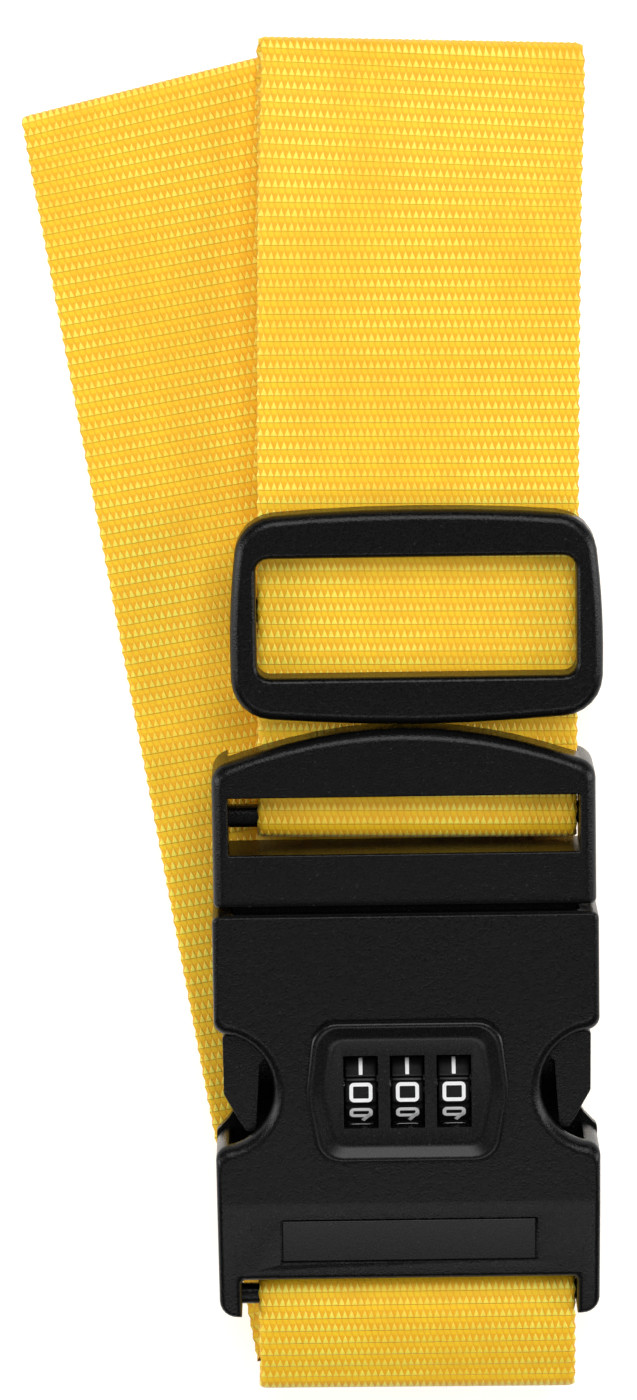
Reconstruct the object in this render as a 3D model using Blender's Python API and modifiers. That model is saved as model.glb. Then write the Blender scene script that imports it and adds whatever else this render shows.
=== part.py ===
"""Luggage strap: 50 mm webbing folded flat, with a slider and a side-release buckle that has a three-dial lock.

The strap lies on its back: +X to the right across it, +Y along it from the lock to the slider, +Z up out of
the lock's face. The origin is on the surface that the strap lies on, straight under the middle dial's centre.
Sizes are in millimetres, and the helpers turn them into metres.
"""

import math

import bmesh
import bpy
from mathutils import Matrix, Vector

MM = 0.001
FIT = 0.3  # gap that neighbouring pieces keep

# Webbing
WEB_WIDTH = 50.0
WEB_THICK = 1.2
LAYER = WEB_THICK + FIT
HIDDEN_LAYERS = 7
STRAP_X = 1.6  # the webbing's middle, level with the dials
STRAP_LEAN = -0.77  # the strap isn't quite square to the lock: its width is turned by this many degrees
FRONT_Z = 16.6  # middle of the layer that runs through the slider
FAN_ANGLE = 9.55  # how far the fanned-out layers lean to the left
FAN_FOLD_ANGLE = 13.4
FAN_FOOT = (0.85, -47.95)
BOTTOM_FOLD_Y = -50.5
INNER_FOLD_Y = -45.5
TOP_FOLD_Y = 162.4
INNER_TOP_Y = 159.6
FAN_TOP_Y = 156.9
SPLIT_Y = 157.0  # where the front webbing's own piece begins, at the back

# Lock
LOCK_BACK = 12.0
REAR_WALL = 2.0
LOCK_FACE = 28.0
FACE_WALL = 2.5
LOCK_TOP_Y = 28.45
LOCK_HALF = 30.2
EAR_HALF = 30.0
NOTCH_CENTRE_Y = 0.35
NOTCH_RADIUS = 9.25
SHOULDER_Y = 9.0  # face that the latch barbs bear on
SOCKET_HALF = 27.3
HOLLOW_LOW_Y = -27.0
SLOPE_Y = -17.8  # below this the lock's face slopes away
SLOPE = math.radians(8.5)
STRAP_GAP_HALF = 26.5
STRAP_GAP_Y = -30.7
EAR_END_Y = -37.0
STRAP_BAR = (-36.2, -33.0, 17.0, 20.0)  # y from, y to, z from, z to
LABEL = (20.3, 3.75, -24.15)  # half width, half height, y of its middle

# Dials
DIAL_Z = 21.0
DIAL_RADIUS = 6.7
DIAL_WIDTH = 5.0
DIAL_PITCH = 7.29
DIGITS = 10
SHAFT_RADIUS = 1.2
WINDOW = (5.4, -5.6, 6.0)  # width, y from, y to

# Buckle frame
FRAME_LOW_Y = 28.8
FRAME_FACE = 24.5
FRAME_HALF = 30.0
SLOT = (37.4, 46.4)
SLOT_HALF = 27.5
INNER_BAR = (40.0, 43.6, 12.7, 15.7)
ARCH_APEX_Y = 57.0
ARM_PIVOT = (25.6, 26.0)
ARM_Z = (15.5, 24.5)

# Slider
SLIDER_X = 2.3
SLIDER_BAR = (72.4, 76.4, 12.0, 14.2)
SLIDER_Z = (17.5, 23.0)

parts = bpy.data.collections.new("luggage_strap")
cutters = bpy.data.collections.new("cutters")


def clear_scene():
    for obj in list(bpy.data.objects):
        bpy.data.objects.remove(obj, do_unlink=True)
    bpy.context.scene.collection.children.link(parts)
    bpy.context.scene.collection.children.link(cutters)
    cutters.hide_render = True


def material(name, colour, roughness, metallic=0.0):
    made = bpy.data.materials.new(name)
    made.use_nodes = True
    shader = made.node_tree.nodes["Principled BSDF"]
    shader.inputs["Base Color"].default_value = (*colour, 1.0)
    shader.inputs["Roughness"].default_value = roughness
    shader.inputs["Metallic"].default_value = metallic
    return made


def add(name, mesh):
    """A new object in the part's collection, with its mesh still in millimetres."""
    mesh.transform(Matrix.Scale(MM, 4))
    obj = bpy.data.objects.new(name, mesh)
    parts.objects.link(obj)
    return obj


def rounded(corners, steps=4):
    """An outline from (x, y, radius) corners, each corner turned into an arc."""
    points = []
    count = len(corners)
    for i, (x, y, radius) in enumerate(corners):
        here = Vector((x, y))
        if not radius:
            points.append(here)
            continue
        back = (Vector(corners[i - 1][:2]) - here).normalized()
        ahead = (Vector(corners[(i + 1) % count][:2]) - here).normalized()
        half = back.angle(ahead) / 2
        centre = here + (back + ahead).normalized() * radius / math.sin(half)
        first = here + back * radius / math.tan(half) - centre
        last = here + ahead * radius / math.tan(half) - centre
        turn = first.angle_signed(last)
        points += [centre + Matrix.Rotation(-turn * k / steps, 2) @ first for k in range(steps + 1)]
    return points


def mirrored(right_half):
    """A closed outline, symmetric about x = 0, from the corners of its right half, listed from top to bottom."""
    return right_half + [(-x, y, radius) for x, y, radius in reversed(right_half)]


def circle(centre, radius, sides):
    turn = 2 * math.pi / sides
    return [
        Vector((centre[0] + radius * math.cos(k * turn), centre[1] + radius * math.sin(k * turn)))
        for k in range(sides)
    ]


def prism(name, outlines, low, high, along="Z"):
    """A flat outline, with holes if more outlines follow the first, extruded from low to high."""
    curve = bpy.data.curves.new(name, "CURVE")
    curve.dimensions = "2D"
    curve.fill_mode = "BOTH"
    curve.extrude = (high - low) / 2
    for outline in outlines:
        spline = curve.splines.new("POLY")
        spline.points.add(len(outline) - 1)
        for point, (x, y) in zip(spline.points, outline):
            point.co = (x, y, 0, 1)
        spline.use_cyclic_u = True
    guide = bpy.data.objects.new(name + "_outline", curve)
    parts.objects.link(guide)
    bpy.context.view_layer.update()
    graph = bpy.context.evaluated_depsgraph_get()
    mesh = bpy.data.meshes.new_from_object(guide.evaluated_get(graph))
    bpy.data.objects.remove(guide)
    bm = bmesh.new()
    bm.from_mesh(mesh)
    bmesh.ops.remove_doubles(bm, verts=bm.verts, dist=0.001)
    bm.to_mesh(mesh)
    bm.free()
    mesh.materials.clear()
    mesh.transform(Matrix.Translation((0, 0, (low + high) / 2)))
    if along == "X":  # the outline's x becomes y, and its y becomes z
        mesh.transform(Matrix(((0, 0, 1, 0), (1, 0, 0, 0), (0, 1, 0, 0), (0, 0, 0, 1))))
    return add(name, mesh)


def box(name, low, high):
    bm = bmesh.new()
    bmesh.ops.create_cube(bm, size=1.0)
    size = Vector(high) - Vector(low)
    bmesh.ops.scale(bm, vec=size, verts=bm.verts)
    bmesh.ops.translate(bm, vec=(Vector(high) + Vector(low)) / 2, verts=bm.verts)
    mesh = bpy.data.meshes.new(name)
    bm.to_mesh(mesh)
    bm.free()
    return add(name, mesh)


def cylinder(name, centre, radius, low, high, along="Z", sides=20):
    """A cylinder along X or Z. Its centre is (x, y) for Z, and (y, z) for X."""
    return prism(name, [circle(centre, radius, sides)], low, high, along)


def rounded_bar(name, place, half, radius):
    """A bar across the part with rounded edges. place is (y from, y to, z from, z to)."""
    y0, y1, z0, z1 = place
    outline = rounded([(y0, z0, radius), (y1, z0, radius), (y1, z1, radius), (y0, z1, radius)])
    return prism(name, [outline], -half, half, along="X")


def apply_boolean(obj, other, operation):
    """Cuts other out of obj, or joins it to obj, and removes other."""
    modifier = obj.modifiers.new(operation.lower(), "BOOLEAN")
    modifier.operation = operation
    modifier.solver = "EXACT"
    modifier.object = other
    bpy.context.view_layer.update()
    graph = bpy.context.evaluated_depsgraph_get()
    mesh = bpy.data.meshes.new_from_object(obj.evaluated_get(graph))
    obj.modifiers.clear()
    old = obj.data
    obj.data = mesh
    bpy.data.meshes.remove(old)
    bpy.data.objects.remove(other)


def cut(obj, *others):
    for other in others:
        apply_boolean(obj, other, "DIFFERENCE")


def join(obj, *others):
    for other in others:
        apply_boolean(obj, other, "UNION")


def finish(obj, surface, origin=None):
    """Gives a piece its material and its shading, and puts its origin on its joint's axis."""
    obj.data.materials.clear()
    obj.data.materials.append(surface)
    obj.data.shade_smooth()
    obj.data.set_sharp_from_angle(angle=math.radians(40))
    if origin:
        shift = Vector(origin) * MM
        obj.data.transform(Matrix.Translation(-shift))
        obj.location = shift
    return obj


def carry(parent, *children):
    """Makes pieces move with their body's main piece."""
    bpy.context.view_layer.update()
    for child in children:
        child.parent = parent
        child.matrix_parent_inverse = parent.matrix_world.inverted()


# ---------------------------------------------------------------- lock


def lock_outline(notch_x, notch_radius):
    """The lock from the front. Each side has a round finger notch that a latch barb shows in."""
    mouth = math.acos((LOCK_HALF - notch_x) / notch_radius)
    half_mouth = notch_radius * math.sin(mouth)
    start = mouth + math.radians(4 if notch_x > LOCK_HALF else 20)
    arc = []
    for k in range(11):
        angle = start + (2 * math.pi - 2 * start) * k / 10
        arc.append((notch_x + notch_radius * math.cos(angle), NOTCH_CENTRE_Y + notch_radius * math.sin(angle), 0))
    return rounded(
        mirrored(
            [(LOCK_HALF, LOCK_TOP_Y, 1.2), (LOCK_HALF, NOTCH_CENTRE_Y + half_mouth, 1.0)]
            + arc
            + [
                (LOCK_HALF, NOTCH_CENTRE_Y - half_mouth, 1.0),
                (EAR_HALF, EAR_END_Y, 2.8),
                (STRAP_GAP_HALF, EAR_END_Y, 0),
                (STRAP_GAP_HALF, STRAP_GAP_Y, 0.8),
            ]
        )
    )


SCREWS = [(17.5, 22.3), (-17.5, 22.3), (20.0, -20.0), (-20.0, -20.0)]
RESET_AT = (0.0, -18.0)


def lock_front_cover(plastic):
    floor = LOCK_BACK + REAR_WALL + FIT
    under_face = LOCK_FACE - FACE_WALL
    cover = prism("lock_front_cover", [lock_outline(LOCK_HALF, NOTCH_RADIUS)], floor, LOCK_FACE)
    slope = box("slope", (-40, -60, 0), (40, 0, 6))
    slope.matrix_world = Matrix.Translation(Vector((0, SLOPE_Y, LOCK_FACE)) * MM) @ Matrix.Rotation(SLOPE, 4, "X")
    cut(cover, slope)
    socket = box("socket", (-SOCKET_HALF, SHOULDER_Y - 1, 0), (SOCKET_HALF, 40, under_face))
    hollow = box("hollow", (-27.7, HOLLOW_LOW_Y, 0), (27.7, SHOULDER_Y, 24.0))
    deep = box("deep", (-27.7, -14.0, 0), (27.7, SHOULDER_Y, under_face))
    join(hollow, deep, socket)
    cut(cover, hollow)
    opening = prism("opening", [bezel_outline(-0.7)], 20, 40)
    cut(cover, opening)
    for x, y in SCREWS:
        join(cover, cylinder("boss", (x, y), 2.4, floor, under_face + 0.5, sides=12))
        cut(cover, cylinder("hole", (x, y), 1.15, 0, 21.5, sides=12))
    for sign in (1, -1):
        low, high = sorted((sign * 15.5, sign * 17.2))
        join(cover, box("post", (low, -2.6, 18.0), (high, 2.6, under_face + 0.5)))
        low, high = sorted((sign * 12.9, sign * 16.9))
        join(cover, box("spring_stop", (low, 16.8, 18.0), (high, 18.2, under_face + 0.5)))
    rib = box("leaf_rib", (-11.0, -12.6, 15.0), (11.0, -9.3, under_face - FIT))
    join(rib, box("rib_root", (-10.5, -12.3, 20.0), (10.5, -10.9, under_face + 0.5)))
    join(cover, rib)
    cut(cover, cylinder("shaft_hole", (0, DIAL_Z), SHAFT_RADIUS + FIT, -20, 20, along="X", sides=16))
    join(cover, rounded_bar("strap_bar", STRAP_BAR, STRAP_GAP_HALF + 1.0, 1.2))
    half, tall, _ = LABEL
    pocket = box("pocket", (-half, -tall, -1.0), (half, tall, 3.0))
    pocket.matrix_world = label_place()
    cut(cover, pocket)
    return finish(cover, plastic)


def label_place():
    """Where the blank label lies, in the middle of the lock face's lower slope."""
    middle = Vector((0, LABEL[2], LOCK_FACE - (SLOPE_Y - LABEL[2]) * math.tan(SLOPE))) * MM
    return Matrix.Translation(middle) @ Matrix.Rotation(SLOPE, 4, "X")


def label_plate(plastic):
    half, tall = LABEL[0] - FIT, LABEL[1] - FIT
    plate = box("label_plate", (-half, -tall, -1.0 + FIT), (half, tall, -0.1))
    plate.matrix_world = label_place()
    return finish(plate, plastic)


def bezel_outline(grow):
    """The dial frame's outline: wider in the middle of its sides, and a little wider at the top than below."""
    return rounded(
        mirrored(
            [
                (14.6 + grow, 11.5 + grow, 4.5),
                (15.9 + grow, 0.0, 14.0),
                (14.0 + grow, -11.1 - grow, 4.5),
            ]
        ),
        steps=5,
    )


def dial_bezel(plastic):
    bezel = prism("dial_bezel", [bezel_outline(0.0)], LOCK_FACE + FIT, 29.2)
    join(bezel, prism("plug", [bezel_outline(-1.0)], LOCK_FACE - FACE_WALL, LOCK_FACE + FIT + 0.2))
    cut(bezel, prism("dish", [bezel_outline(-2.0)], 28.5, 30))
    for place in (-1, 0, 1):
        x = place * DIAL_PITCH
        cut(bezel, box("window", (x - WINDOW[0] / 2, WINDOW[1], 20), (x + WINDOW[0] / 2, WINDOW[2], 40)))
    return finish(bezel, plastic)


def lock_rear_cover(plastic):
    inside = LOCK_BACK + REAR_WALL
    cover = prism("lock_rear_cover", [lock_outline(LOCK_HALF + 7.5, NOTCH_RADIUS + 2.75)], LOCK_BACK, inside)
    for x, y in SCREWS:
        cut(cover, cylinder("countersink", (x, y), 2.3, 0, LOCK_BACK + 1.2, sides=16))
        cut(cover, cylinder("hole", (x, y), 1.15, 0, 40, sides=12))
    cut(cover, cylinder("reset_hole", RESET_AT, 2.3, 0, 40, sides=16))
    return finish(cover, plastic)


def dial_outline():
    """Ten flat digit pads with a groove between each pair."""
    half_pad, half_groove = math.radians(14.5), math.radians(2.0)
    pitch = 2 * math.pi / DIGITS
    points = []
    for k in range(DIGITS):
        middle = k * pitch + math.pi / 2
        for angle, radius in (
            (middle - half_pad, DIAL_RADIUS),
            (middle + half_pad, DIAL_RADIUS),
            (middle + pitch / 2 - half_groove, DIAL_RADIUS - 0.6),
            (middle + pitch / 2 + half_groove, DIAL_RADIUS - 0.6),
        ):
            points.append(Vector((radius * math.cos(angle), DIAL_Z + radius * math.sin(angle))))
    return points


def dial(number, plastic):
    x = (number - 2) * DIAL_PITCH
    bore = circle((0, DIAL_Z), 3.3, 20)
    wheel = prism(f"dial_{number}", [dial_outline(), bore], x - DIAL_WIDTH / 2, x + DIAL_WIDTH / 2, along="X")
    return finish(wheel, plastic, (x, 0, DIAL_Z))


def dial_cam(number, plastic):
    """The sleeve inside a dial, with a flange beside it whose notch lets the locking plate's finger pass."""
    x = (number - 2) * DIAL_PITCH
    bore = circle((0, DIAL_Z), SHAFT_RADIUS + FIT, 16)
    sleeve = prism(
        f"dial_{number}_cam", [circle((0, DIAL_Z), 3.0, 20), bore], x - 2.3, x + DIAL_WIDTH / 2 + 0.5, along="X"
    )
    flange = prism(
        "flange",
        [circle((0, DIAL_Z), 4.4, 20), bore],
        x + DIAL_WIDTH / 2 + FIT,
        x + DIAL_WIDTH / 2 + 1.6,
        along="X",
    )
    join(sleeve, flange)
    cut(sleeve, box("notch", (x + DIAL_WIDTH / 2 + 0.1, 3.5, 20.0), (x + 6, 6, 22.0)))
    return finish(sleeve, plastic, (x, 0, DIAL_Z))


def dial_shaft(steel):
    shaft = cylinder("dial_shaft", (0, DIAL_Z), SHAFT_RADIUS, -16.9, 16.9, along="X", sides=16)
    return finish(shaft, steel)


def detent_spring(steel):
    """A leaf with one finger for each dial. Each finger has a bump that clicks into the dial's grooves."""
    leaf = box("detent_spring", (-10.6, -9.0, 15.2), (10.6, -8.5, 17.2))
    for place in (-1, 0, 1):
        x = place * DIAL_PITCH
        join(leaf, box("finger", (x - 1.8, -9.0, 16.8), (x + 1.8, -8.5, 23.0)))
        join(leaf, cylinder("bump", (-8.0, DIAL_Z), 0.9, x - 1.4, x + 1.4, along="X", sides=12))
    return finish(leaf, steel)


def locking_plate(steel):
    """A bar that the latch arms' lugs wedge towards the dials, where the cams stop its fingers or let them in."""
    corners = [(14.67, 12.0, 0), (19.67, 7.0, 0), (19.67, 6.2, 0), (14.0, 6.2, 0), (14.0, 9.4, 0)]
    plate = prism("locking_plate", [rounded(mirrored(corners))], 20.1, 21.9)
    for number in (1, 2, 3):
        x = (number - 2) * DIAL_PITCH + DIAL_WIDTH / 2 + 1.0
        join(plate, box("finger", (x - 0.4, 6.6, 20.3), (x + 0.4, 9.8, 21.7)))
    return finish(plate, steel)


def plate_spring(name, x, steel):
    """The coil that pulls the locking plate back towards the buckle."""
    low, high, turns, per_turn = 12.6, 16.3, 4, 10
    curve = bpy.data.curves.new(name, "CURVE")
    curve.dimensions = "3D"
    curve.bevel_depth = 0.2 * MM
    curve.bevel_resolution = 1
    curve.use_fill_caps = True
    spline = curve.splines.new("POLY")
    spline.points.add(turns * per_turn)
    for k, point in enumerate(spline.points):
        angle = 2 * math.pi * k / per_turn
        y = low + (high - low) * k / (turns * per_turn)
        point.co = ((x + 1.3 * math.cos(angle)) * MM, y * MM, (DIAL_Z + 1.3 * math.sin(angle)) * MM, 1)
    coil = bpy.data.objects.new(name, curve)
    parts.objects.link(coil)
    coil.data.materials.append(steel)
    return coil


def cover_screw(number, steel):
    x, y = SCREWS[number - 1]
    screw = cylinder(f"cover_screw_{number}", (x, y), 2.0, LOCK_BACK + 0.1, LOCK_BACK + 0.9, sides=16)
    join(screw, cylinder("shank", (x, y), 0.85, LOCK_BACK + 0.5, 20.5, sides=12))
    cut(screw, box("slot_1", (x - 1.3, y - 0.25, 0), (x + 1.3, y + 0.25, LOCK_BACK + 0.5)))
    cut(screw, box("slot_2", (x - 0.25, y - 1.3, 0), (x + 0.25, y + 1.3, LOCK_BACK + 0.5)))
    return finish(screw, steel)


def reset_button(plastic):
    """The code-change button, pressed with a pen from behind."""
    button = cylinder("reset_button", RESET_AT, 2.0, LOCK_BACK + 0.4, 17.0, sides=16)
    join(button, cylinder("flange", RESET_AT, 3.0, LOCK_BACK + REAR_WALL + FIT, 15.2, sides=16))
    return finish(button, plastic, (*RESET_AT, LOCK_BACK))


# ---------------------------------------------------------------- buckle frame


def arch_outline():
    arch = [(x, ARCH_APEX_Y - 0.0068 * x * x, 0) for x in (0.01, 4.5, 9.0, 13.5, 18.0, 22.0, 25.5)]
    return rounded(mirrored(arch + [(FRAME_HALF, 51.2, 3.2), (FRAME_HALF, FRAME_LOW_Y, 0.8)]))


def buckle_frame(plastic):
    frame = prism("buckle_frame", [arch_outline()], LOCK_BACK, FRAME_FACE)
    channel_top = FRONT_Z + WEB_THICK / 2 + FIT
    cut(frame, box("channel", (-SLOT_HALF, SLOT[0], 0), (SLOT_HALF, 70, channel_top)))
    cut(frame, box("slot", (-SLOT_HALF, SLOT[0], 0), (SLOT_HALF, SLOT[1], 40)))
    join(frame, rounded_bar("inner_bar", INNER_BAR, SLOT_HALF + 1.0, 1.2))
    join(frame, box("neck", (-27.0, 27.6, 15.5), (27.0, FRAME_LOW_Y + 1, 24.5 - 2.0)))
    join(frame, box("tongue", (-8.0, 14.6, 17.0), (8.0, 28.5, 22.0)))
    return finish(frame, plastic)


def latch_arm(name, sign, plastic):
    """A side latch: a root that turns in the frame, a shank, an inner lug that wedges the locking plate, and the
    barb that shows in the lock's side notch."""
    px, py = ARM_PIVOT
    root = [(px + 1.3 * math.cos(a), py + 1.3 * math.sin(a), 0) for a in (math.pi * k / 6 for k in range(7))]
    corners = list(reversed(root)) + [
        (26.9, SHOULDER_Y - 0.3, 0),
        (28.9, SHOULDER_Y - 0.3, 0.5),
        (28.8, -0.8, 1.0),
        (25.4, -6.8, 0.5),
        (23.8, -6.8, 0.5),
        (23.1, 4.0, 0),
        (16.9, 10.2, 0.3),
        (16.9, 11.2, 0.3),
        (24.3, 12.6, 0),
    ]
    if sign < 0:
        corners = [(-x, y, radius) for x, y, radius in reversed(corners)]
    arm = prism(name, [rounded(corners, steps=3)], *ARM_Z)
    return finish(arm, plastic, (sign * px, py, sum(ARM_Z) / 2))


# ---------------------------------------------------------------- slider


def slider_frame(plastic):
    top = [(0.01, 91.3, 0), (8.0, 91.2, 0), (16.0, 90.9, 0), (27.6, 90.1, 6.5)]
    low = [(28.9, 58.7, 6.5), (16.0, 57.9, 0), (8.0, 57.5, 0), (0.01, 57.35, 0)]
    sides = [(29.2, 75.0, 130.0)]
    outline = [Vector((x + SLIDER_X, y)) for x, y in rounded(mirrored(top + sides + low))]
    inner = 24.9
    window = rounded(
        [
            (SLIDER_X - inner, 65.0, 2.0),
            (SLIDER_X + inner, 65.0, 2.0),
            (SLIDER_X + inner, 83.8, 2.0),
            (SLIDER_X - inner, 83.8, 2.0),
        ]
    )
    frame = prism("slider_frame", [outline, window], *SLIDER_Z)
    for sign in (1, -1):
        low, high = sorted((SLIDER_X + sign * 25.6, SLIDER_X + sign * 28.0))
        join(frame, box("rail", (low, 70.4, SLIDER_BAR[2]), (high, 78.4, SLIDER_Z[0] + 1)))
    bar = rounded_bar("centre_bar", SLIDER_BAR, 26.5, 1.0)
    bar.location.x = SLIDER_X * MM
    join(frame, bar)
    return finish(frame, plastic, (SLIDER_X, (SLIDER_BAR[0] + SLIDER_BAR[1]) / 2, SLIDER_Z[0]))


# ---------------------------------------------------------------- webbing


def straight_x(y):
    """The middle of the straight layers, at a place along the strap."""
    return STRAP_X - y * math.tan(math.radians(STRAP_LEAN))


def fan_x(y):
    """The middle of the layers that fan out to the left, at a place along the strap."""
    return FAN_FOOT[0] - (y - FAN_FOOT[1]) * math.tan(math.radians(FAN_ANGLE))


STRAIGHT = (straight_x, STRAP_LEAN)
LOCK_END = (lambda y: 1.2, 0.0)  # where the webbing goes round the lock's bar
FANNED = (fan_x, FAN_ANGLE)


def at(y, z, layer=STRAIGHT):
    """One cross-section of webbing: (x, y, z, angle of its width from +X in degrees)."""
    middle, angle = layer
    return (middle(y), y, z, angle)


def fold(edge_y, z_from, z_to, radius, layer_from=STRAIGHT, layer_to=STRAIGHT, skew=0.0, steps=4):
    """Cross-sections round a fold whose middle reaches edge_y. It is round where it is thin, and a short wall
    with round corners where it wraps a stack. Past y = 50 the fold is at the top, and below it at the bottom."""
    side = 1 if edge_y > 50 else -1
    up = 1 if z_to > z_from else -1
    radius = min(radius, abs(z_to - z_from) / 2)
    arcs = []
    for k in range(steps + 1):
        angle = math.pi / 2 * k / steps
        arcs.append((math.sin(angle), z_from + up * radius * (1 - math.cos(angle))))
    for k in range(steps + 1):
        angle = math.pi / 2 * k / steps
        arcs.append((math.cos(angle), z_to - up * radius * (1 - math.sin(angle))))
    if abs(abs(z_to - z_from) - 2 * radius) < 0.01:
        arcs.pop(steps)
    sections = []
    for k, (reach, z) in enumerate(arcs):
        share = k / (len(arcs) - 1)
        y = edge_y - side * radius * (1 - reach)
        x = layer_from[0](y) * (1 - share) + layer_to[0](y) * share
        angle = layer_from[1] * (1 - share) + layer_to[1] * share + skew
        sections.append((x, y, z, angle))
    return sections


def wrap(centre_y, centre_z, radius, side, z_first, layer=STRAIGHT, steps=8):
    """Cross-sections half way round a bar, on its side towards +Y (side 1) or -Y (side -1)."""
    up = 1 if z_first < centre_z else -1
    turns = [math.pi * k / steps for k in range(steps + 1)]
    return [at(centre_y + side * radius * math.sin(a), centre_z - up * radius * math.cos(a), layer) for a in turns]


def webbing(name, sections, fabric):
    """A strip of webbing through its cross-sections, given its thickness by Solidify."""
    bm = bmesh.new()
    half = WEB_WIDTH / 2
    rows = []
    for x, y, z, angle in sections:
        across = Vector((math.cos(math.radians(angle)), math.sin(math.radians(angle)), 0)) * half
        middle = Vector((x, y, z))
        rows.append((bm.verts.new(middle - across), bm.verts.new(middle + across)))
    for (a, b), (c, d) in zip(rows, rows[1:]):
        bm.faces.new((a, b, d, c))
    mesh = bpy.data.meshes.new(name)
    bm.to_mesh(mesh)
    bm.free()
    strip = add(name, mesh)
    thickness = strip.modifiers.new("thickness", "SOLIDIFY")
    thickness.thickness = WEB_THICK * MM
    thickness.offset = 0
    thickness.use_even_offset = True
    strip.data.materials.append(fabric)
    return strip


def level(number):
    """Height of the middle of a hidden layer, counted from the one that lies on the table."""
    return WEB_THICK / 2 + (number - 1) * LAYER


def webbing_folded(fabric):
    """From the sewn tail, round the lock's bar and the bottom fold, then up through the zigzag of hidden layers."""
    top_level = level(HIDDEN_LAYERS)
    tail_z = top_level + LAYER
    bar_y = (STRAP_BAR[0] + STRAP_BAR[1]) / 2 + 0.4
    bar_z = (STRAP_BAR[2] + STRAP_BAR[3]) / 2
    sections = [at(-22.0, tail_z, LOCK_END), at(-40.0, tail_z, LOCK_END)]
    sections += fold(-46.6, tail_z, 14.4, 1.5, LOCK_END, LOCK_END)
    sections += [at(-38.0, bar_z - 2.4, LOCK_END)]
    sections += wrap(bar_y, bar_z, 2.4, 1, bar_z - 2.4, LOCK_END)
    sections += [at(-38.5, bar_z + 2.4, LOCK_END), at(-44.0, bar_z + 1.2, LOCK_END)]
    sections += fold(BOTTOM_FOLD_Y, bar_z - 0.4, level(1), 2.4, LOCK_END, STRAIGHT)
    sections += fold(INNER_TOP_Y, level(1), level(2), 5)
    sections += fold(INNER_FOLD_Y, level(2), level(3), 5)
    sections += fold(INNER_TOP_Y, level(3), level(4), 5)
    sections += fold(INNER_FOLD_Y, level(4), level(5), 5, STRAIGHT, FANNED)
    sections += fold(FAN_TOP_Y, level(5), level(6), 5, FANNED, FANNED, FAN_FOLD_ANGLE - FAN_ANGLE)
    sections += fold(INNER_FOLD_Y, level(6), top_level, 5, FANNED, STRAIGHT)
    sections += [at(SPLIT_Y - FIT, top_level)]
    return webbing("webbing_folded", sections, fabric)


def webbing_front(fabric):
    """Over the top fold, through the slider and round the buckle frame's inner bar."""
    bar_y = (INNER_BAR[0] + INNER_BAR[1]) / 2 - 0.7
    bar_z = (INNER_BAR[2] + INNER_BAR[3]) / 2
    sections = [at(SPLIT_Y, level(HIDDEN_LAYERS))]
    sections += fold(TOP_FOLD_Y, level(HIDDEN_LAYERS), 12.2, 1.3)
    sections += [at(158.0, 12.2), at(144.0, 14.6), at(130.0, FRONT_Z)]
    sections += wrap(bar_y, bar_z, FRONT_Z - bar_z, -1, FRONT_Z)
    sections += [at(SLOT[1] - 1.5, 2 * bar_z - FRONT_Z)]
    return webbing("webbing_front", sections, fabric)


def webbing_return(fabric):
    """From the buckle frame back under the slider, round its centre bar, and sewn down beside itself."""
    bar_y = (SLIDER_BAR[0] + SLIDER_BAR[1]) / 2 + 1.1
    bar_z = (SLIDER_BAR[2] + SLIDER_BAR[3]) / 2
    low = bar_z - 2.0
    start_z = INNER_BAR[2] + INNER_BAR[3] - FRONT_Z
    sections = [at(SLOT[1] - 1.5 + FIT, start_z), at(58.0, low + 0.2), at(66.0, low)]
    sections += wrap(bar_y, bar_z, 2.0, 1, low)
    sections += [at(72.0, bar_z + 2.0), at(67.5, low + LAYER + 0.3), at(59.0, low + LAYER + 0.2)]
    return webbing("webbing_return", sections, fabric)


def main():
    clear_scene()
    plastic = material("black_plastic", (0.018, 0.018, 0.019), 0.42)
    gloss = material("bezel_plastic", (0.012, 0.012, 0.013), 0.28)
    wheel = material("dial_plastic", (0.014, 0.014, 0.015), 0.35)
    steel = material("steel", (0.62, 0.62, 0.64), 0.32, 1.0)
    fabric = material("yellow_webbing", (0.93, 0.62, 0.02), 0.6)
    cover = lock_front_cover(plastic)
    carry(
        cover,
        lock_rear_cover(plastic),
        dial_bezel(gloss),
        label_plate(plastic),
        dial_shaft(steel),
        detent_spring(steel),
        locking_plate(steel),
        plate_spring("plate_spring_left", -14.9, steel),
        plate_spring("plate_spring_right", 14.9, steel),
        *(cover_screw(number, steel) for number in (1, 2, 3, 4)),
        reset_button(plastic),
        webbing_folded(fabric),
    )
    for number in (1, 2, 3):
        turning = dial(number, wheel)
        carry(turning, dial_cam(number, wheel))
        carry(cover, turning)
    frame = buckle_frame(plastic)
    slider = slider_frame(plastic)
    carry(slider, webbing_return(fabric))
    arms = (latch_arm("latch_arm_left", -1, plastic), latch_arm("latch_arm_right", 1, plastic))
    carry(frame, *arms, slider, webbing_front(fabric))
    carry(cover, frame)


main()
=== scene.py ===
"""Looks for the luggage strap: ribbed yellow webbing, black plastic, numbered dials, light and camera."""

import math

import bmesh
import bpy
import numpy as np
from mathutils import Matrix, Vector


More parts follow.
